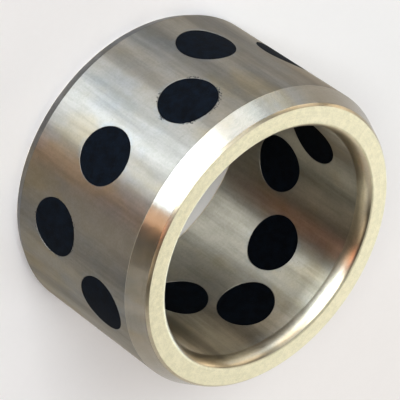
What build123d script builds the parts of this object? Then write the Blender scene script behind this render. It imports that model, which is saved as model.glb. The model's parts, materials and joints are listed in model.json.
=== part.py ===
from build123d import *
import os

os.makedirs("parts", exist_ok=True)

# Graphite plugged bushing: a turned bronze sleeve with graphite plugs set through its wall.
# Millimetres and degrees. It stands on its rear end: +Z is the bore axis and z = 0 the rear face.

# ---------------------------------------------------------------- driving dimensions
bore_diameter = 45.0            # runs on the shaft
wall_thickness = 6.5
sleeve_length = 35.0

# Outside, front end: a long shallow lead-in for pressing the bushing home, then a broken corner
lead_in_length = 3.5
lead_in_depth = 1.55
corner_break = 0.45

# Outside, rear end: a shorter lead-in
rear_lead_in_length = 1.95
rear_lead_in_depth = 0.9

# Inside: a rounded mouth at the front, which runs smoothly into the bore, and a broken rear edge
mouth_length = 3.0
mouth_depth = 1.5
rear_edge_break = 0.5

# Graphite plugs, in three staggered rings
plug_diameter = 10.5
glue_gap = 0.02                 # all round each plug, in its hole
ring_pitch = 5.2                # along the axis, with the middle ring halfway up the sleeve
plugs_per_ring = 4
rear_ring_angle = 40.0          # each ring's first plug
middle_ring_angle = 5.0
front_ring_angle = 62.0

# The holes are marked out and drilled by hand, so each one is a little off its even place:
# (degrees round the sleeve, millimetres up it), from each ring's first plug on
rear_ring_drift = [(2, 1.0), (-2.5, -0.2), (0, 0.1), (-0.5, -0.8)]
middle_ring_drift = [(0, 0), (-2, 0.4), (4, -1.0), (2, -0.7)]
front_ring_drift = [(-0.5, 0.2), (2.5, -1.5), (3, -0.2), (-4.5, 1.3)]

# ---------------------------------------------------------------- sizes worked out from them
bore_radius = bore_diameter / 2
outer_radius = bore_radius + wall_thickness
hole_radius = plug_diameter / 2 + glue_gap
mid_length = sleeve_length / 2

# ---------------------------------------------------------------- turned blank
# Half section through the wall, from the rear face round the outside to the bore
with BuildPart() as blank:
    with BuildSketch(Plane.XZ) as section:
        with BuildLine():
            outside = Polyline(
                (bore_radius, rear_edge_break),
                (bore_radius + rear_edge_break, 0),
                (outer_radius - rear_lead_in_depth, 0),
                (outer_radius, rear_lead_in_length),
                (outer_radius, sleeve_length - corner_break - lead_in_length),
                (outer_radius - lead_in_depth, sleeve_length - corner_break),
                (outer_radius - lead_in_depth - corner_break, sleeve_length),
                (bore_radius + mouth_depth, sleeve_length),
            )
            bore_end = (bore_radius, sleeve_length - mouth_length)
            TangentArc(bore_end, outside @ 1, tangent=(0, 1))
            Line(bore_end, outside @ 0)
        make_face()
    revolve(axis=Axis.Z)

# ---------------------------------------------------------------- plug places
rings = [
    (rear_ring_angle, mid_length - ring_pitch, rear_ring_drift),
    (middle_ring_angle, mid_length, middle_ring_drift),
    (front_ring_angle, mid_length + ring_pitch, front_ring_drift),
]
plug_places = []
for start_angle, height, drift in rings:
    for number in range(plugs_per_ring):
        turn, rise = drift[number % len(drift)]
        angle = start_angle + number * 360 / plugs_per_ring + turn
        plug_places.append((angle, height + rise))

# Each plane stands on the bore axis at a plug's height and looks out along the plug
plug_planes = [
    Plane(origin=(0, 0, height), x_dir=(0, 0, 1), z_dir=Vector(1, 0, 0).rotate(Axis.Z, angle))
    for angle, height in plug_places
]

# ---------------------------------------------------------------- sleeve
with BuildPart() as bronze_sleeve:
    add(blank.part)
    for plane in plug_planes:
        with BuildSketch(plane):
            Circle(hole_radius)
        extrude(amount=outer_radius + 1, mode=Mode.SUBTRACT)

bronze_sleeve.part.label = "bronze_sleeve"
export_step(bronze_sleeve.part, "parts/bronze_sleeve.step")

# ---------------------------------------------------------------- plugs
# The plugs are machined with the sleeve, so both ends take the blank's own curved faces
for number, plane in enumerate(plug_planes, start=1):
    with BuildPart() as graphite_plug:
        with BuildSketch(plane):
            Circle(plug_diameter / 2)
        extrude(amount=outer_radius + 1)
        add(blank.part, mode=Mode.INTERSECT)

    name = f"graphite_plug_{number:02d}"
    graphite_plug.part.label = name
    export_step(graphite_plug.part, f"parts/{name}.step")
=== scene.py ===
"""A graphite plugged bushing: a turned bronze sleeve with graphite plugs set flush in its wall.

The sleeve stands on its rear end. Z is the bore's axis and z = 0 is the rear face.
Lengths are in metres.
"""

import json
import math
from typing import NamedTuple

import bmesh
import bpy
from bpy.props import FloatProperty, FloatVectorProperty, IntProperty, PointerProperty
from mathutils import Matrix, Quaternion, Vector


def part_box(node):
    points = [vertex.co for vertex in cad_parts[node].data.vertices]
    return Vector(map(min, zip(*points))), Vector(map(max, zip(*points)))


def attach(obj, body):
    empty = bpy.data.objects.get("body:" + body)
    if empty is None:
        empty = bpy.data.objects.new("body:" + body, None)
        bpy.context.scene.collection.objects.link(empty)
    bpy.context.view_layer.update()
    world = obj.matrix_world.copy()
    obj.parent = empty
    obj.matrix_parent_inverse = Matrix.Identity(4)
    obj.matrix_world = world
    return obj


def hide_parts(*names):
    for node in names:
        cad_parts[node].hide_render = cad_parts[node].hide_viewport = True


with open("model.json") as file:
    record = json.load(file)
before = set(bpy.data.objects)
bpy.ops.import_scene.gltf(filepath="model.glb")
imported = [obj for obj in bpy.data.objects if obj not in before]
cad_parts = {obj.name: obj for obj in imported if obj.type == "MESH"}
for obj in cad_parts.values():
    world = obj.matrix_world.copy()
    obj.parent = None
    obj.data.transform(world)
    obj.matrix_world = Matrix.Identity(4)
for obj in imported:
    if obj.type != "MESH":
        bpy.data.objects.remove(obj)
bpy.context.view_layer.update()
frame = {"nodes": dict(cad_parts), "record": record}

bl_info = {
    "name": "Graphite Plugged Bushing",
    "version": (1, 0, 0),
    "blender": (4, 5, 0),
    "location": "3D View > Sidebar > Bushing",
    "description": "Turns a bronze sleeve, drills it and fits its graphite plugs",
    "category": "Add Mesh",
}

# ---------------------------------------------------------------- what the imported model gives
MM = 0.001
MOUNTS = {mount["name"]: mount for mount in frame["record"]["mounts"]}
BORE_RADIUS = MOUNTS["bore"]["dims"]["r_mm"] * MM
OUTER_RADIUS = MOUNTS["outer_diameter"]["dims"]["r_mm"] * MM
SLEEVE_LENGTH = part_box("bronze_sleeve")[1].z
PLUG_NODES = sorted(name for name in frame["nodes"] if name.startswith("graphite_plug"))
WALL_MIDDLE = (BORE_RADIUS + OUTER_RADIUS) / 2


def plug_place(node):
    """How far round the sleeve and how far up it a CAD plug's centre is."""
    low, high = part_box(node)
    centre = (low + high) / 2
    return math.atan2(centre.y, centre.x), centre.z


PLUG_PLACES = {node: plug_place(node) for node in PLUG_NODES}
PLUG_RADIUS = (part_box(PLUG_NODES[0])[1].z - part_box(PLUG_NODES[0])[0].z) / 2


# ---------------------------------------------------------------- the bronze's finishes
class Finish(NamedTuple):
    """How one kind of surface on the sleeve looks.

    Colour is the name of its setting, and stretch is how far highlights spread across the tool
    marks. Streaks, rings and mottling are how far each pattern swings the brightness, specks and
    scratches are how many there are, and oxide is how strong its casts are. The two heights are
    in micrometres.
    """

    colour: str
    roughness: float
    stretch: float
    streaks: float
    rings: float
    mottling: float
    specks: float
    scratches: float
    oxide: float
    streak_height: float
    ring_height: float


FINISHES = {
    "turned_bronze": Finish("turned_colour", 0.50, 1.0, 0.38, 0.05, 0.08, 0.04, 0.1, 0.9, 5.0, 0.5),
    "bore_bronze": Finish("bore_colour", 0.48, 1.0, 0.42, 0.05, 0.08, 0.03, 0.1, 0.7, 4.0, 0.4),
    "taper_bronze": Finish("taper_colour", 0.24, 0.8, 0.04, 0.16, 0.08, 0.03, 0.1, 0.8, 0.0, 0.4),
    # The rear taper's bronze is painted far darker than the rest: painted shade for the shadowed
    # floor that it mirrors at its foot
    "foot_bronze": Finish("foot_colour", 0.35, 0.8, 0.45, 0.20, 0.30, 0.05, 0.0, 1.2, 0.0, 0.4),
    "mouth_bronze": Finish("mouth_colour", 0.32, 0.7, 0.04, 0.16, 0.08, 0.02, 0.0, 0.3, 0.0, 0.3),
    "faced_bronze": Finish("face_colour", 0.55, 0.0, 0.0, 0.12, 0.10, 0.05, 0.1, 0.05, 0.0, 0.6),
    "drilled_bronze": Finish("turned_colour", 0.60, 0.0, 0.0, 0.10, 0.20, 0.0, 0.0, 0.0, 0.0, 0.3),
}
MATERIAL_PLACES = {name: place for place, name in enumerate(FINISHES)}
# The upward part of a face's normal, from 0 on the cylinders to 1 on the end faces, at which the
# finish changes
CYLINDER_SLOPE = 0.03
BROKEN_EDGE_SLOPE = 0.6
END_FACE_SLOPE = 0.87
# How far from a plug a face can still belong to its hole, and the outward part of a face's normal
# from which it belongs to the wall instead
HOLE_REACH = 0.5 * MM
WALL_FACING = 0.9
# The casts that oxide gives the bronze, as factors on its colour
OXIDE_CASTS = {"Yellow": (1.06, 0.98, 0.80, 1), "Blue": (0.91, 0.97, 1.07, 1)}
# The colours of graphite wiped over the bronze round a plug, and of the painted shade, near black,
# in the hole's torn edge
SMEARED_GRAPHITE = (0.28, 0.32, 0.34, 1)
PAINTED_SHADE_TORN_EDGE = (0.02, 0.022, 0.028, 1)
# The furthest that the torn edge and its painted shade reach from these plugs, and from every
# other, in millimetres
RAGGED_EDGE_SHADE_REACH = {"graphite_plug_11": 0.756, "graphite_plug_04": 0.36}
CLEAN_EDGE_SHADE_REACH = 0.09


# ---------------------------------------------------------------- settings
class SleeveSettings(bpy.types.PropertyGroup):
    """Sizes and colours of the bronze sleeve"""

    lead_in_length: FloatProperty(
        name="Lead-in Length",
        description="Length of the long shallow taper at the front end",
        default=3.5 * MM,
        unit="LENGTH",
    )
    lead_in_depth: FloatProperty(
        name="Lead-in Depth",
        description="How far the front taper goes in from the outside",
        default=1.55 * MM,
        unit="LENGTH",
    )
    corner_break: FloatProperty(
        name="Corner Break",
        description="Size of the small chamfer between the front taper and the end face",
        default=0.45 * MM,
        unit="LENGTH",
    )
    rear_lead_in_length: FloatProperty(
        name="Rear Lead-in Length",
        description="Length of the taper at the rear end",
        default=1.95 * MM,
        unit="LENGTH",
    )
    rear_lead_in_depth: FloatProperty(
        name="Rear Lead-in Depth",
        description="How far the rear taper goes in from the outside",
        default=0.9 * MM,
        unit="LENGTH",
    )
    mouth_length: FloatProperty(
        name="Mouth Length",
        description="How far down the bore its rounded mouth reaches",
        default=3.0 * MM,
        unit="LENGTH",
    )
    mouth_depth: FloatProperty(
        name="Mouth Depth",
        description="How far the rounded mouth opens out at the end face",
        default=1.5 * MM,
        unit="LENGTH",
    )
    rear_edge_break: FloatProperty(
        name="Rear Edge Break",
        description="Size of the small chamfer at the rear end of the bore",
        default=0.5 * MM,
        unit="LENGTH",
    )
    edge_round: FloatProperty(
        name="Edge Round",
        description="Rounding that polishing leaves on each corner",
        default=0.06 * MM,
        unit="LENGTH",
    )
    hole_edge: FloatProperty(
        name="Hole Edge",
        description="Size of the small chamfer round each plug hole",
        default=0.07 * MM,
        unit="LENGTH",
    )
    glue_gap: FloatProperty(
        name="Glue Gap",
        description="Gap all round each plug, in its hole",
        default=0.02 * MM,
        unit="LENGTH",
    )
    facets: IntProperty(
        name="Facets",
        description="How many flats the turned surfaces have round the bore",
        default=360,
        min=24,
    )
    turned_colour: FloatVectorProperty(
        name="Turned Colour",
        description="Colour of the turned outside",
        default=(0.305, 0.285, 0.235),
        subtype="COLOR",
    )
    bore_colour: FloatVectorProperty(
        name="Bore Colour",
        description="Colour of the honed bore",
        default=(0.455, 0.432, 0.35),
        subtype="COLOR",
    )
    taper_colour: FloatVectorProperty(
        name="Taper Colour",
        description="Colour of the polished taper at the front end",
        default=(0.315, 0.285, 0.22),
        subtype="COLOR",
    )
    # Painted shade: the rear taper's bronze is darkened to stand in for the shadowed floor that it
    # mirrors at its foot
    foot_colour: FloatVectorProperty(
        name="Foot Painted Shade Colour",
        description="Colour of the taper at the rear end",
        default=(0.125, 0.12, 0.108),
        subtype="COLOR",
    )
    mouth_colour: FloatVectorProperty(
        name="Mouth Colour",
        description="Colour of the rounded mouth of the bore",
        default=(0.64, 0.57, 0.41),
        subtype="COLOR",
    )
    face_colour: FloatVectorProperty(
        name="Faced Colour",
        description="Colour of the matt end faces",
        default=(0.82, 0.785, 0.56),
        subtype="COLOR",
    )
    patina_colour: FloatVectorProperty(
        name="Patina Colour",
        description="Colour of the small stains on the bronze",
        default=(0.16, 0.15, 0.12),
        subtype="COLOR",
    )


class PlugSettings(bpy.types.PropertyGroup):
    """Sizes and colours of the graphite plugs"""

    facets: IntProperty(
        name="Facets",
        description="How many flats a plug and its hole have round them",
        default=128,
        min=16,
    )
    colour: FloatVectorProperty(
        name="Graphite Colour",
        description="Colour of the plugs",
        default=(0.0007, 0.0016, 0.0030),
        subtype="COLOR",
    )


class StageSettings(bpy.types.PropertyGroup):
    """The floor, the lamps and the camera"""

    floor_colour: FloatVectorProperty(
        name="Floor Colour",
        description="Colour of the floor",
        default=(0.95, 0.935, 0.915),
        subtype="COLOR",
    )
    azimuth: FloatProperty(
        name="Azimuth",
        description="Direction the camera stands in, round the bushing from -Y",
        default=math.radians(0.465),
        subtype="ANGLE",
    )
    elevation: FloatProperty(
        name="Elevation",
        description="Height of the camera above the floor, as an angle",
        default=math.radians(38.53),
        subtype="ANGLE",
    )
    roll: FloatProperty(
        name="Roll",
        description="How far the camera is turned about its own line of sight",
        default=math.radians(124.943),
        subtype="ANGLE",
    )
    distance: FloatProperty(
        name="Distance",
        description="Distance from the camera to what it looks at",
        default=540.17 * MM,
        unit="LENGTH",
    )
    aim: FloatVectorProperty(
        name="Aim",
        description="The point that the camera looks at",
        default=(0.201 * MM, -0.628 * MM, 16.709 * MM),
        subtype="TRANSLATION",
    )
    lens: FloatProperty(
        name="Lens",
        description="Focal length in millimetres, on a sensor 36 mm wide",
        default=277.18,
    )
    floor_width: FloatProperty(
        name="Floor Width",
        description="Width of the square floor",
        default=8.0,
        unit="LENGTH",
    )
    lamp_distance: FloatProperty(
        name="Lamp Distance",
        description="Distance from the bushing to each soft lamp",
        default=2.0,
        unit="LENGTH",
    )
    lamp_level: FloatProperty(
        name="Lamp Level",
        description="Factor on how bright all the soft lamps are",
        default=1.0,
        min=0,
    )
    room_level: FloatProperty(
        name="Room Level",
        description="Brightness of the room round the lamps",
        default=0.0,
        min=0,
    )


# ---------------------------------------------------------------- modelling helpers
def deselect_all():
    """Leaves edit mode, with nothing selected."""
    if bpy.context.mode != "OBJECT":
        bpy.ops.object.mode_set(mode="OBJECT")
    bpy.ops.object.select_all(action="DESELECT")


def work_on(piece):
    """Selects one object alone and makes it the active one."""
    deselect_all()
    piece.select_set(True)
    bpy.context.view_layer.objects.active = piece


def copy_of(piece, name):
    """A copy with its own mesh."""
    work_on(piece)
    bpy.ops.object.duplicate(linked=False)
    made = bpy.context.active_object
    made.name = name
    made.data.name = name
    return made


def delete(piece):
    """Removes an object and its mesh."""
    mesh = piece.data
    bpy.data.objects.remove(piece)
    bpy.data.meshes.remove(mesh)


def select_in_edit_mode(element, chosen):
    """Selects the verts, edges or faces for which chosen() is true, in edit mode."""
    modes = {"verts": "VERT", "edges": "EDGE", "faces": "FACE"}
    bpy.ops.mesh.select_mode(type=modes[element])
    bpy.ops.mesh.select_all(action="DESELECT")
    mesh = bpy.context.edit_object.data
    cage = bmesh.from_edit_mesh(mesh)
    for item in getattr(cage, element):
        item.select_set(bool(chosen(item)))
    cage.select_flush_mode()
    bmesh.update_edit_mesh(mesh)


def apply_modifier(piece, kind, **values):
    """Adds a modifier with these values and applies it at once."""
    work_on(piece)
    modifier = piece.modifiers.new(kind.title(), kind)
    for name, value in values.items():
        setattr(modifier, name, value)
    bpy.ops.object.modifier_apply(modifier=modifier.name)


# ---------------------------------------------------------------- the sleeve
# How many times the long walls are cut across, which keeps the faces round the holes compact
LONG_WALL_CUTS = 23
# How many flats the cylinders have that shape the ends of the plugs and of the hole cutters
WALL_CURVE_FACETS = 720


def turn_off(start, end, middle):
    """Takes off what lies outside the line from start to end, as a lathe tool would."""
    start, end, middle = (Vector((r, 0, z)) for r, z in (start, end, middle))
    along = end - start
    outwards = Vector((along.z, 0, -along.x))
    if outwards.dot(start - middle) < 0:
        outwards.negate()
    bpy.ops.mesh.select_all(action="SELECT")
    bpy.ops.mesh.bisect(
        plane_co=start, plane_no=outwards.normalized(), clear_outer=True, threshold=0.001 * MM
    )


def corner_turn(vert):
    """How far the outline turns at a vertex of the flat section."""
    a, b = ((edge.other_vert(vert).co - vert.co) for edge in vert.link_edges)
    return math.pi - a.angle(b)


def is_long_wall(edge):
    """Whether an edge of the section is the outside or the bore."""
    a, b = (vert.co for vert in edge.verts)
    return abs(a.x - b.x) < 0.01 * MM and abs(a.z - b.z) > SLEEVE_LENGTH / 2


def mouth_cuts(sizes):
    """Tangents of the quarter ellipse by which the bore rolls over into the end face."""
    tangents = 18
    for number in range(1, tangents + 1):
        lean = math.pi / 2 * (number - 0.5) / tangents
        turn = math.atan(math.tan(lean) * sizes.mouth_length / sizes.mouth_depth)
        touch = Vector(
            (
                BORE_RADIUS + sizes.mouth_depth * (1 - math.cos(turn)),
                SLEEVE_LENGTH + sizes.mouth_length * (math.sin(turn) - 1),
            )
        )
        yield touch, touch + Vector((math.sin(lean), math.cos(lean))) * MM


def turned_blank(sizes):
    """The sleeve before it is drilled: a flat wall section, cut to its outline and spun round."""
    length = SLEEVE_LENGTH
    wall = OUTER_RADIUS - BORE_RADIUS
    deselect_all()
    bpy.ops.mesh.primitive_plane_add(
        size=1, location=(WALL_MIDDLE, 0, length / 2), rotation=(math.pi / 2, 0, 0)
    )
    blank = bpy.context.active_object
    blank.scale = (wall, length, 1)
    bpy.ops.object.transform_apply(location=True, rotation=True, scale=True)
    bpy.ops.object.mode_set(mode="EDIT")

    taper_end = (OUTER_RADIUS - sizes.lead_in_depth, length - sizes.corner_break)
    rear_taper_end = (OUTER_RADIUS - sizes.rear_lead_in_depth, 0)
    for start, end in (
        ((OUTER_RADIUS, taper_end[1] - sizes.lead_in_length), taper_end),
        (taper_end, (taper_end[0] - sizes.corner_break, length)),
        ((OUTER_RADIUS, sizes.rear_lead_in_length), rear_taper_end),
        ((BORE_RADIUS, sizes.rear_edge_break), (BORE_RADIUS + sizes.rear_edge_break, 0)),
        *mouth_cuts(sizes),
    ):
        turn_off(start, end, (WALL_MIDDLE, length / 2))

    sharp = math.radians(12)
    select_in_edit_mode("verts", lambda vert: corner_turn(vert) > sharp)
    bpy.ops.mesh.bevel(affect="VERTICES", offset=sizes.edge_round, segments=3)
    bpy.ops.mesh.select_all(action="SELECT")
    bpy.ops.mesh.delete(type="ONLY_FACE")
    select_in_edit_mode("edges", is_long_wall)
    bpy.ops.mesh.subdivide(number_cuts=LONG_WALL_CUTS)
    bpy.ops.mesh.select_all(action="SELECT")
    bpy.ops.mesh.spin(steps=sizes.facets, angle=2 * math.pi, center=(0, 0, 0), axis=(0, 0, 1))
    bpy.ops.mesh.select_all(action="SELECT")
    bpy.ops.mesh.remove_doubles(threshold=0.0005 * MM)
    bpy.ops.mesh.normals_make_consistent(inside=False)
    bpy.ops.object.mode_set(mode="OBJECT")
    bpy.ops.object.shade_smooth()
    apply_modifier(blank, "WEIGHTED_NORMAL", mode="FACE_AREA", weight=50)
    return blank


def saddle_bar(radius, facets, inner, outer, name):
    """A round bar along X, whose ends follow the cylinders of the inner and the outer radius."""
    deselect_all()
    bpy.ops.mesh.primitive_cylinder_add(
        vertices=facets,
        radius=radius,
        depth=2 * (outer - inner),
        location=((inner + outer) / 2, 0, 0),
        rotation=(0, math.pi / 2, 0),
    )
    bpy.ops.object.transform_apply(location=True, rotation=True, scale=True)
    bar = bpy.context.active_object
    bar.name = name
    for end_radius, keep in ((outer, "INTERSECT"), (inner, "DIFFERENCE")):
        deselect_all()
        bpy.ops.mesh.primitive_cylinder_add(
            vertices=WALL_CURVE_FACETS, radius=end_radius, depth=4 * radius
        )
        cylinder = bpy.context.active_object
        apply_modifier(bar, "BOOLEAN", operation=keep, solver="EXACT", object=cylinder)
        delete(cylinder)
    return bar


def hole_cutter(sizes, facets):
    """The bar that cuts one plug hole, with ends that flare to break the hole's edges."""
    radius = PLUG_RADIUS + sizes.glue_gap
    inner = BORE_RADIUS + sizes.hole_edge
    outer = OUTER_RADIUS - sizes.hole_edge
    cutter = saddle_bar(radius, facets, inner, outer, "hole_cutter")
    flare = 0.6 * MM
    wider = (radius + flare) / radius
    work_on(cutter)
    bpy.ops.object.mode_set(mode="EDIT")
    for outwards in (1, -1):
        select_in_edit_mode("faces", lambda face: face.normal.x * outwards > WALL_FACING)
        bpy.ops.mesh.extrude_region_move(TRANSFORM_OT_translate={"value": (outwards * flare, 0, 0)})
        bpy.ops.transform.resize(value=(1, wider, wider), center_override=(0, 0, 0))
    bpy.ops.object.mode_set(mode="OBJECT")
    return cutter


def put_at(piece, azimuth, height):
    """Moves what was made at azimuth 0 and height 0 to a plug's place, in its mesh."""
    piece.data.transform(Matrix.Translation((0, 0, height)) @ Matrix.Rotation(azimuth, 4, "Z"))


def all_holes(sizes, facets):
    """One object that cuts every plug hole."""
    cutter = hole_cutter(sizes, facets)
    holes = []
    for node in PLUG_NODES:
        hole = copy_of(cutter, f"hole_for_{node}")
        put_at(hole, *PLUG_PLACES[node])
        holes.append(hole)
    delete(cutter)
    deselect_all()
    for hole in holes:
        hole.select_set(True)
    bpy.context.view_layer.objects.active = holes[0]
    bpy.ops.object.join()
    return holes[0]


def offset_from_plug(point, azimuth, height):
    """How far a point on the wall lies from a plug's axis, round the sleeve and up it."""
    turn = math.remainder(math.atan2(point.y, point.x) - azimuth, 2 * math.pi)
    return turn * point.xy.length, point.z - height


def distance_from_plug(point, node):
    """How far a point on the wall lies from a plug's axis."""
    return math.hypot(*offset_from_plug(point, *PLUG_PLACES[node]))


def finish_of(polygon, from_plug):
    """The name of the finish that a face of the sleeve has."""
    outwards = Vector((*polygon.center.xy, 0)).normalized()
    near_hole = from_plug < PLUG_RADIUS + HOLE_REACH
    if near_hole and abs(polygon.normal.dot(outwards)) < WALL_FACING:
        return "drilled_bronze"
    slope = abs(polygon.normal.z)
    if slope > END_FACE_SLOPE:
        return "faced_bronze"
    inside = polygon.center.xy.length < WALL_MIDDLE
    if slope < CYLINDER_SLOPE:
        return "bore_bronze" if inside else "turned_bronze"
    if inside or slope > BROKEN_EDGE_SLOPE:
        return "mouth_bronze"
    return "taper_bronze" if polygon.center.z > SLEEVE_LENGTH / 2 else "foot_bronze"


def dress_sleeve(mesh):
    """Gives each face its finish and each corner its offset from the nearest plug."""
    normals = [tuple(corner.vector) for corner in mesh.corner_normals]
    offsets = [(0.0, 0.0, 0.0)] * len(normals)
    for polygon in mesh.polygons:
        centre = polygon.center
        node = min(PLUG_NODES, key=lambda plug: distance_from_plug(centre, plug))
        finish = finish_of(polygon, distance_from_plug(centre, node))
        polygon.material_index = MATERIAL_PLACES[finish]
        for corner in polygon.loop_indices:
            point = mesh.vertices[mesh.loops[corner].vertex_index].co
            around, up = offset_from_plug(point, *PLUG_PLACES[node])
            # The third part is how far the torn edge and its painted shade reach
            offsets[corner] = (around / MM, up / MM, RAGGED_EDGE_SHADE_REACH.get(node, CLEAN_EDGE_SHADE_REACH))
            if finish == "drilled_bronze":
                normals[corner] = tuple(polygon.normal)
    mesh.normals_split_custom_set(normals)
    attribute = mesh.attributes.new("from_plug", "FLOAT_VECTOR", "CORNER")
    attribute.data.foreach_set("vector", [value for offset in offsets for value in offset])


class BUSHING_OT_turn_sleeve(bpy.types.Operator):
    """Turn the sleeve, drill its plug holes and finish its surfaces"""

    bl_idname = "bushing.turn_sleeve"
    bl_label = "Turn Sleeve"
    bl_options = {"REGISTER", "UNDO"}

    def execute(self, context):
        sizes = context.scene.bushing_sleeve
        plugs = context.scene.bushing_plugs
        blank = turned_blank(sizes)
        sleeve = copy_of(blank, "sleeve")
        holes = all_holes(sizes, plugs.facets)
        apply_modifier(sleeve, "BOOLEAN", operation="DIFFERENCE", solver="EXACT", object=holes)
        delete(holes)

        # The smooth shading is taken from the undrilled blank, so the cuts don't show as dents
        apply_modifier(
            sleeve,
            "DATA_TRANSFER",
            object=blank,
            use_loop_data=True,
            data_types_loops={"CUSTOM_NORMAL"},
            loop_mapping="POLYINTERP_NEAREST",
        )
        delete(blank)
        for finish in FINISHES:
            sleeve.data.materials.append(bronze(finish, sizes))
        dress_sleeve(sleeve.data)
        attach(sleeve, "root")
        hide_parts("bronze_sleeve")
        return {"FINISHED"}


# ---------------------------------------------------------------- the plugs
class BUSHING_OT_fit_plugs(bpy.types.Operator):
    """Make one graphite plug, machined flush with the sleeve, and fit a copy in each hole"""

    bl_idname = "bushing.fit_plugs"
    bl_label = "Fit Plugs"
    bl_options = {"REGISTER", "UNDO"}

    def execute(self, context):
        sizes = context.scene.bushing_plugs
        plug = saddle_bar(PLUG_RADIUS, sizes.facets, BORE_RADIUS, OUTER_RADIUS, "plug")
        plug.data.materials.clear()
        plug.data.materials.append(graphite(sizes))
        work_on(plug)
        bpy.ops.object.shade_smooth_by_angle(angle=math.radians(30))

        for node in PLUG_NODES:
            fitted = copy_of(plug, node.replace("graphite_", ""))
            put_at(fitted, *PLUG_PLACES[node])
            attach(fitted, "root")
            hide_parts(node)
        delete(plug)
        return {"FINISHED"}


# ---------------------------------------------------------------- nodes
def add_node(tree, kind, inputs=None, **settings):
    """Adds a node, and fills its inputs with values or with other nodes' outputs."""
    made = tree.nodes.new(kind)
    for name, value in settings.items():
        setattr(made, name, value)
    for socket, value in (inputs or {}).items():
        if isinstance(value, bpy.types.NodeSocket):
            tree.links.new(value, made.inputs[socket])
        else:
            made.inputs[socket].default_value = value
    return made


def maths(tree, operation, first, second=0.0, third=0.0):
    """One sum on numbers."""
    inputs = {0: first, 1: second, 2: third}
    return add_node(tree, "ShaderNodeMath", inputs, operation=operation).outputs[0]


def vector_maths(tree, operation, first, second=(0, 0, 0), third=(0, 0, 0)):
    """One sum on vectors."""
    inputs = {0: first, 1: second, 2: third}
    return add_node(tree, "ShaderNodeVectorMath", inputs, operation=operation).outputs[0]


def combine(tree, x, y, z):
    """A vector, or a colour, from its three parts."""
    return add_node(tree, "ShaderNodeCombineXYZ", {0: x, 1: y, 2: z}).outputs[0]


def parts_of(tree, vector):
    """The three parts of a vector."""
    return add_node(tree, "ShaderNodeSeparateXYZ", {0: vector}).outputs


def distance_from_z(tree, parts):
    """How far the place with these parts lies from the Z axis."""
    flat = combine(tree, parts[0], parts[1], 0.0)
    return add_node(tree, "ShaderNodeVectorMath", {0: flat}, operation="LENGTH").outputs["Value"]


def remap(tree, value, low, high, to_low=0.0, to_high=1.0):
    """Maps low..high smoothly onto to_low..to_high, and holds there outside it."""
    inputs = {"Value": value, 1: low, 2: high, 3: to_low, 4: to_high}
    return add_node(tree, "ShaderNodeMapRange", inputs, interpolation_type="SMOOTHSTEP").outputs[0]


def blend_colours(tree, share, first, second, blend_type="MIX"):
    """Mixes this share of the second colour into the first."""
    inputs = {0: share, 6: first, 7: second}
    settings = {"data_type": "RGBA", "blend_type": blend_type}
    return add_node(tree, "ShaderNodeMix", inputs, **settings).outputs[2]


def noise(tree, vector, scale, detail=3.0, roughness=0.5):
    """A noise pattern, as a number."""
    inputs = {"Vector": vector, "Scale": scale, "Detail": detail, "Roughness": roughness}
    return add_node(tree, "ShaderNodeTexNoise", inputs).outputs[0]


def millimetres(tree, stretch=(1, 1, 1)):
    """The object's own coordinates in millimetres, each multiplied by its stretch."""
    place = add_node(tree, "ShaderNodeTexCoord").outputs["Object"]
    return vector_maths(tree, "MULTIPLY", place, tuple(value / MM for value in stretch))


def new_group(name, inputs, outputs):
    """A node group whose inputs and outputs are all numbers."""
    number = "NodeSocketFloat"
    group = bpy.data.node_groups.new(name, "ShaderNodeTree")
    for label, value in inputs.items():
        socket = group.interface.new_socket(name=label, in_out="INPUT", socket_type=number)
        socket.default_value = value
    for label in outputs:
        group.interface.new_socket(name=label, in_out="OUTPUT", socket_type=number)
    given = group.nodes.new("NodeGroupInput").outputs
    return group, given, group.nodes.new("NodeGroupOutput").inputs


def use_group(tree, name, **values):
    """Places a shared group in a material with its own values, and gives its outputs."""
    group = bpy.data.node_groups.get(name) or GROUPS[name]()
    made = tree.nodes.new("ShaderNodeGroup")
    made.node_tree = group
    for label, value in values.items():
        made.inputs[label.replace("_", " ").title()].default_value = value
    return made.outputs


def lengthwise_streaks():
    """Long thin streaks that run along the bore's axis, as honing and handling leave."""
    inputs = {"Fineness": 1.0, "Length": 14.0}
    group, given, out = new_group("lengthwise_streaks", inputs, ["Value", "Height"])
    squeeze = maths(group, "DIVIDE", 1.0, given["Length"])
    place = vector_maths(group, "MULTIPLY", millimetres(group), combine(group, 1.0, 1.0, squeeze))
    wide = noise(group, place, maths(group, "MULTIPLY", given["Fineness"], 0.24), 2.0, 0.5)
    fine = noise(group, place, maths(group, "MULTIPLY", given["Fineness"], 1.6), 3.0, 0.6)
    both = maths(group, "MULTIPLY_ADD", wide, 0.74, maths(group, "MULTIPLY", fine, 0.26))
    group.links.new(remap(group, both, 0.28, 0.72), out["Value"])
    group.links.new(both, out["Height"])
    return group


def tool_marks():
    """Fine rings round the bore's axis, as a lathe tool leaves on every turned surface."""
    group, given, out = new_group("tool_marks", {"Fineness": 4.0}, ["Value"])
    parts = parts_of(group, millimetres(group))
    along = maths(group, "ADD", parts[2], distance_from_z(group, parts))
    rings = combine(group, *(maths(group, "MULTIPLY", part, 0.03) for part in parts[:2]), along)
    group.links.new(noise(group, rings, given["Fineness"], 3.0, 0.6), out["Value"])
    return group


def oxide_tints():
    """Slow patches where the bronze has taken a yellow or a blue cast."""
    group, given, out = new_group("oxide_tints", {"Fineness": 0.1}, OXIDE_CASTS)
    for number, label in enumerate(OXIDE_CASTS):
        place = millimetres(group, (1, 1, 0.5))
        place = vector_maths(group, "ADD", place, (40.0 * number, 0, 0))
        patch = noise(group, place, given["Fineness"], 3.0, 0.6)
        group.links.new(remap(group, patch, 0.48, 0.68), out[label])
    return group


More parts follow.
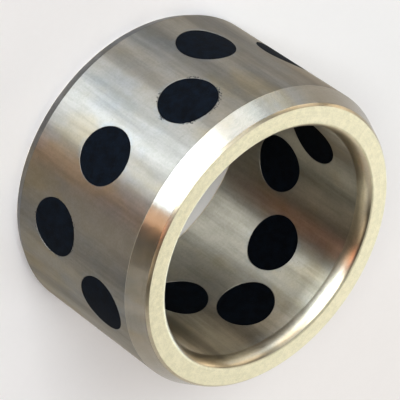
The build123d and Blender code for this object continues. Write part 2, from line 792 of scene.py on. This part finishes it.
def mottling():
    """Soft cloudy patches with a fine grain in them."""
    group, given, out = new_group("mottling", {"Fineness": 1.0}, ["Value"])
    place = millimetres(group)
    patches = noise(group, place, maths(group, "MULTIPLY", given["Fineness"], 0.4), 2.0, 0.5)
    grain = noise(group, place, maths(group, "MULTIPLY", given["Fineness"], 2.6), 2.0, 0.7)
    both = maths(group, "MULTIPLY_ADD", patches, 0.45, maths(group, "MULTIPLY", grain, 0.55))
    group.links.new(remap(group, both, 0.34, 0.66), out["Value"])
    return group


def specks():
    """Small separate pits and dots. Share is how many of the possible places have one."""
    group, given, out = new_group("specks", {"Fineness": 1.0, "Size": 0.2, "Share": 0.2}, ["Mask"])
    inputs = {"Vector": millimetres(group), "Scale": given["Fineness"]}
    cells = add_node(group, "ShaderNodeTexVoronoi", inputs).outputs
    chance = parts_of(group, cells["Color"])[0]
    chosen = maths(group, "LESS_THAN", chance, given["Share"])
    inner = maths(group, "MULTIPLY", given["Size"], 0.4)
    dot = remap(group, cells["Distance"], inner, given["Size"], 1.0, 0.0)
    group.links.new(maths(group, "MULTIPLY", dot, chosen), out["Mask"])
    return group


def hair_scratches():
    """Thin curved scratches that start and stop."""
    inputs = {"Fineness": 0.25, "Width": 0.02, "Share": 0.3}
    group, given, out = new_group("hair_scratches", inputs, ["Mask"])
    place = millimetres(group)
    inputs = {"Vector": place, "Scale": 0.15, "Detail": 1.0}
    bend = add_node(group, "ShaderNodeTexNoise", inputs).outputs["Color"]
    bent = vector_maths(group, "MULTIPLY_ADD", bend, (6, 6, 6), place)
    inputs = {"Vector": bent, "Scale": given["Fineness"]}
    cells = add_node(group, "ShaderNodeTexVoronoi", inputs, feature="DISTANCE_TO_EDGE")
    inner = maths(group, "MULTIPLY", given["Width"], 0.3)
    line = remap(group, cells.outputs["Distance"], inner, given["Width"], 1.0, 0.0)
    there = noise(group, place, 0.45, 1.0)
    low = maths(group, "SUBTRACT", 0.7, maths(group, "MULTIPLY", given["Share"], 0.4))
    shown = remap(group, there, low, maths(group, "ADD", low, 0.06))
    group.links.new(maths(group, "MULTIPLY", line, shown), out["Mask"])
    return group


def plug_rim():
    """Torn bronze at the edge of a plug's hole, painted near black as painted shade, and graphite
    that machining smeared past it.
    """
    inputs = {"Plug Radius": 5.25, "Smear Width": 1.2}
    group, given, out = new_group("plug_rim", inputs, ["Burr", "Smear"])
    offset = add_node(group, "ShaderNodeAttribute", attribute_name="from_plug").outputs["Vector"]
    parts = parts_of(group, offset)
    past = maths(group, "SUBTRACT", distance_from_z(group, parts), given["Plug Radius"])
    place = millimetres(group)
    tear = remap(group, noise(group, place, 3.4, 2.0, 0.6), 0.44, 0.70)
    torn_part = remap(group, noise(group, place, 0.22, 1.0), 0.40, 0.54)
    torn = maths(group, "MULTIPLY", tear, torn_part)
    reach = maths(group, "MULTIPLY", torn, parts[2])
    past_tear = maths(group, "SUBTRACT", past, reach)
    # Where the torn edge is painted near black, as painted shade
    group.links.new(remap(group, past_tear, 0.0, 0.08, 1.0, 0.0), out["Burr"])
    cloud = remap(group, noise(group, place, 0.5, 2.0), 0.4, 0.65)
    fade = remap(group, past, 0.0, given["Smear Width"], 1.0, 0.0)
    group.links.new(maths(group, "MULTIPLY", fade, cloud), out["Smear"])
    return group


GROUPS = {
    make.__name__: make
    for make in (
        lengthwise_streaks,
        tool_marks,
        oxide_tints,
        mottling,
        specks,
        hair_scratches,
        plug_rim,
    )
}


# ---------------------------------------------------------------- materials
def new_material(name):
    """A node material with only its Principled BSDF and its output."""
    material = bpy.data.materials.new(name)
    material.use_nodes = True
    shader = material.node_tree.nodes["Principled BSDF"]
    return material, material.node_tree, shader


def tinted(colour, *factors):
    """A colour times one factor, or each channel times its own, made opaque."""
    factors = factors * 3 if len(factors) == 1 else factors
    return (*(channel * factor for channel, factor in zip(colour, factors)), 1)


def dabbed(tree, under, mask, strength, over):
    """Lays a colour over another where the mask says so, at this strength."""
    return blend_colours(tree, maths(tree, "MULTIPLY", mask, strength), under, over)


def bronze(name, sizes):
    """The material of one of the sleeve's finishes."""
    finish = FINISHES[name]
    colour = getattr(sizes, finish.colour)
    material, tree, shader = new_material(name)
    shader.inputs["Metallic"].default_value = 1
    shader.inputs["Anisotropic"].default_value = finish.stretch
    shader.inputs["Anisotropic Rotation"].default_value = 0.25

    cloud_fineness = 2.4 if name == "faced_bronze" else 1.0
    streak = use_group(tree, "lengthwise_streaks", fineness=1.0, length=14.0)
    tint = use_group(tree, "oxide_tints", fineness=0.1)
    ring = use_group(tree, "tool_marks", fineness=4.0)["Value"]
    cloud = use_group(tree, "mottling", fineness=cloud_fineness)["Value"]
    speck = use_group(tree, "specks", fineness=1.3, size=0.13, share=finish.specks)["Mask"]
    scratches = {"fineness": 0.22, "width": 0.012, "share": finish.scratches}
    scratch = use_group(tree, "hair_scratches", **scratches)["Mask"]

    # Each pattern swings the brightness round 1 by its own share
    swing = 1.0
    for pattern, share in (
        (streak["Value"], finish.streaks),
        (ring, finish.rings),
        (cloud, finish.mottling),
    ):
        factor = remap(tree, pattern, 0.0, 1.0, 1 - share / 2, 1 + share / 2)
        swing = maths(tree, "MULTIPLY", swing, factor)
    warm = blend_colours(tree, cloud, tinted(colour, 0.96), tinted(colour, 1.03, 1.02, 1.06))
    painted = blend_colours(tree, 1.0, warm, combine(tree, swing, swing, swing), "MULTIPLY")
    for label, cast in OXIDE_CASTS.items():
        share = maths(tree, "MULTIPLY", tint[label], finish.oxide)
        painted = blend_colours(tree, share, painted, cast, "MULTIPLY")
    painted = dabbed(tree, painted, speck, 0.7, (*sizes.patina_colour, 1))
    painted = dabbed(tree, painted, scratch, 0.35, tinted(colour, 0.5))
    if name in ("turned_bronze", "bore_bronze"):
        rim = use_group(tree, "plug_rim", plug_radius=PLUG_RADIUS / MM, smear_width=1.2)
        painted = dabbed(tree, painted, rim["Smear"], 0.35, SMEARED_GRAPHITE)
        # Painted shade: the torn edge round each hole is painted near black
        painted = blend_colours(tree, rim["Burr"], painted, PAINTED_SHADE_TORN_EDGE)
    tree.links.new(painted, shader.inputs["Base Color"])
    rough = remap(tree, cloud, 0.0, 1.0, 0.97 * finish.roughness, 1.03 * finish.roughness)
    tree.links.new(rough, shader.inputs["Roughness"])

    bumped = None
    for pattern, height in ((streak["Height"], finish.streak_height), (ring, finish.ring_height)):
        if height:
            inputs = {"Height": pattern, "Distance": height * 0.001 * MM}
            if bumped:
                inputs["Normal"] = bumped
            bumped = add_node(tree, "ShaderNodeBump", inputs).outputs[0]
    tree.links.new(bumped, shader.inputs["Normal"])
    return material


def graphite(sizes):
    """Pressed graphite: blue-black, with a fine glitter of smoother flakes painted lighter as a
    painted glint, and small pits painted darker as painted shade.
    """
    material, tree, shader = new_material("graphite")
    grain = use_group(tree, "mottling", fineness=1.7)["Value"]
    flake_and_glint = use_group(tree, "specks", fineness=2.4, size=0.22, share=0.3)["Mask"]
    pit_and_shade = use_group(tree, "specks", fineness=1.1, size=0.2, share=0.25)["Mask"]
    colour = blend_colours(tree, grain, tinted(sizes.colour, 0.4), tinted(sizes.colour, 2.2))
    # The flakes are painted lighter, a painted glint on top of their smoother surface
    colour = dabbed(tree, colour, flake_and_glint, 0.5, tinted(sizes.colour, 5.0))
    # The pits are painted darker, as painted shade in them
    colour = dabbed(tree, colour, pit_and_shade, 0.8, tinted(sizes.colour, 0.2))
    tree.links.new(colour, shader.inputs["Base Color"])
    tree.links.new(remap(tree, flake_and_glint, 0.0, 1.0, 0.85, 0.6), shader.inputs["Roughness"])
    shader.inputs["Specular IOR Level"].default_value = 0.06
    height = maths(tree, "SUBTRACT", grain, pit_and_shade)
    bump = add_node(tree, "ShaderNodeBump", {"Height": height, "Distance": 0.01 * MM})
    tree.links.new(bump.outputs[0], shader.inputs["Normal"])
    return material


# ---------------------------------------------------------------- the stage
# The width of the camera's sensor, in millimetres
SENSOR_WIDTH = 36
# The lamps' colours
WHITE = (1.0, 1.0, 1.0)
COOL = (0.66, 0.80, 1.0)
FAINT = (0.94, 0.97, 1.0)
WARM = (1.0, 0.94, 0.86)
SAND = (1.0, 0.84, 0.66)
CLAY = (1.0, 0.66, 0.46)
COPPER = (1.0, 0.42, 0.24)
# Each soft lamp: its name, the direction of its middle and its width round the bushing, where it
# starts and ends above the floor, all in degrees, how bright it looks, and its colour
SOFTBOXES = (
    ("key_near", 280, 16, 0, 8, 25.0, COOL),
    ("key_middle", 260, 24, 0, 8, 40.0, COOL),
    ("key_far", 239, 18, 0, 8, 16.0, COOL),
    ("side_low", 215, 30, 0, 8, 7.5, COOL),
    ("side_middle", 222, 34, 12, 26, 3.4, SAND),
    ("side_strip", 190, 20, 0, 8, 4.2, COOL),
    ("side_end", 170, 20, 0, 8, 2.2, COOL),
    ("side_rear", 139, 18, 10, 24, 2.8, SAND),
    ("side_upper", 174, 34, 14, 30, 2.1, SAND),
    ("head_left", 208, 46, 46, 56, 2.8, FAINT),
    ("head_near", 247, 26, 37, 51, 12.4, FAINT),
    ("head_right", 273, 20, 33, 47, 19.8, FAINT),
    ("edge_near", 295, 12, 0, 10, 4.4, CLAY),
    ("copper_card", 302, 12, 20, 42, 2.8, COPPER),
    ("edge_high", 328, 18, 18, 40, 1.3, SAND),
    ("back_card", 102, 28, 0, 25, 3.0, COOL),
    ("back_high", 98, 34, 25, 45, 2.7, WARM),
    ("back_top", 122, 34, 42, 62, 1.3, WARM),
    ("back_right", 64, 36, 4, 34, 0.8, WARM),
    ("right_high", 34, 60, 26, 50, 0.7, WARM),
    ("right_fill", 20, 50, 0, 26, 0.5, WHITE),
    ("right_back", 345, 30, 0, 20, 0.6, WHITE),
)


def direction(azimuth, elevation):
    """The unit vector that points this far round from +X and this far up, in radians."""
    return Vector(
        (
            math.cos(azimuth) * math.cos(elevation),
            math.sin(azimuth) * math.cos(elevation),
            math.sin(elevation),
        )
    )


def hang_softbox(sizes, name, azimuth, width, low, high, brightness, colour):
    """A rectangular lamp that faces the bushing from its own patch of the room."""
    middle = math.radians(low + high) / 2
    towards = direction(math.radians(azimuth), middle)
    reach = sizes.lamp_distance
    bpy.ops.object.light_add(type="AREA", location=towards * reach)
    lamp = bpy.context.active_object
    lamp.name = name
    lamp.rotation_mode = "QUATERNION"
    lamp.rotation_quaternion = (-towards).to_track_quat("-Z", "Y")
    lamp.visible_camera = False
    light = lamp.data
    light.shape = "RECTANGLE"
    light.size = 2 * reach * math.tan(math.radians(width) / 2) * math.cos(middle)
    light.size_y = 2 * reach * math.tan(math.radians(high - low) / 2)
    light.energy = sizes.lamp_level * brightness * math.pi * light.size * light.size_y
    light.color = colour


def set_camera(sizes):
    """The camera, at its own place round the bushing and turned about its line of sight."""
    back = direction(sizes.azimuth - math.pi / 2, sizes.elevation)
    upright = (-back).to_track_quat("-Z", "Y")
    bpy.ops.object.camera_add()
    camera = bpy.context.active_object
    camera.name = "camera"
    camera.data.lens = sizes.lens
    camera.data.sensor_width = SENSOR_WIDTH
    camera.rotation_mode = "QUATERNION"
    camera.rotation_quaternion = upright @ Quaternion((0, 0, 1), sizes.roll)
    camera.location = Vector(sizes.aim) + back * sizes.distance
    bpy.context.scene.camera = camera


def lay_floor(sizes):
    """A plain pale floor, which is part of the stage and not of the bushing."""
    bpy.ops.mesh.primitive_plane_add(size=sizes.floor_width)
    floor = bpy.context.active_object
    floor.name = "floor"
    material, tree, shader = new_material("floor_paper")
    fibre = use_group(tree, "mottling", fineness=0.3)["Value"]
    colour = sizes.floor_colour
    paper = blend_colours(tree, fibre, tinted(colour, 0.99), tinted(colour, 1))
    tree.links.new(paper, shader.inputs["Base Color"])
    shader.inputs["Roughness"].default_value = 1
    shader.inputs["Specular IOR Level"].default_value = 0
    floor.data.materials.append(material)


def set_room(sizes):
    """The even light of the room, which is added to the lamps' light."""
    world = bpy.data.worlds.new("studio")
    world.use_nodes = True
    background = world.node_tree.nodes["Background"]
    background.inputs["Color"].default_value = (1, 1, 1, 1)
    background.inputs["Strength"].default_value = sizes.room_level
    bpy.context.scene.world = world


class BUSHING_OT_set_stage(bpy.types.Operator):
    """Lay the floor, hang the lamps and place the camera"""

    bl_idname = "bushing.set_stage"
    bl_label = "Set Stage"
    bl_options = {"REGISTER", "UNDO"}

    def execute(self, context):
        sizes = context.scene.bushing_stage
        deselect_all()
        lay_floor(sizes)
        set_room(sizes)
        for softbox in SOFTBOXES:
            hang_softbox(sizes, *softbox)
        set_camera(sizes)
        context.scene.view_settings.view_transform = "Standard"
        return {"FINISHED"}


# ---------------------------------------------------------------- panel and registration
class BUSHING_PT_panel(bpy.types.Panel):
    """Lists the bushing's pieces and their settings"""

    bl_label = "Graphite Plugged Bushing"
    bl_idname = "BUSHING_PT_panel"
    bl_space_type = "VIEW_3D"
    bl_region_type = "UI"
    bl_category = "Bushing"

    def draw(self, context):
        scene = context.scene
        for operator, settings in (
            (BUSHING_OT_turn_sleeve, scene.bushing_sleeve),
            (BUSHING_OT_fit_plugs, scene.bushing_plugs),
            (BUSHING_OT_set_stage, scene.bushing_stage),
        ):
            box = self.layout.box()
            for name in settings.__annotations__:
                box.prop(settings, name)
            box.operator(operator.bl_idname)


CLASSES = (
    SleeveSettings,
    PlugSettings,
    StageSettings,
    BUSHING_OT_turn_sleeve,
    BUSHING_OT_fit_plugs,
    BUSHING_OT_set_stage,
    BUSHING_PT_panel,
)


def register():
    for made in CLASSES:
        bpy.utils.register_class(made)
    bpy.types.Scene.bushing_sleeve = PointerProperty(type=SleeveSettings)
    bpy.types.Scene.bushing_plugs = PointerProperty(type=PlugSettings)
    bpy.types.Scene.bushing_stage = PointerProperty(type=StageSettings)


def unregister():
    del bpy.types.Scene.bushing_stage
    del bpy.types.Scene.bushing_plugs
    del bpy.types.Scene.bushing_sleeve
    for made in reversed(CLASSES):
        bpy.utils.unregister_class(made)


def main():
    """Builds everything with the default settings."""
    register()
    bpy.ops.bushing.set_stage()
    bpy.ops.bushing.turn_sleeve()
    bpy.ops.bushing.fit_plugs()


if __name__ == "__main__":
    main()
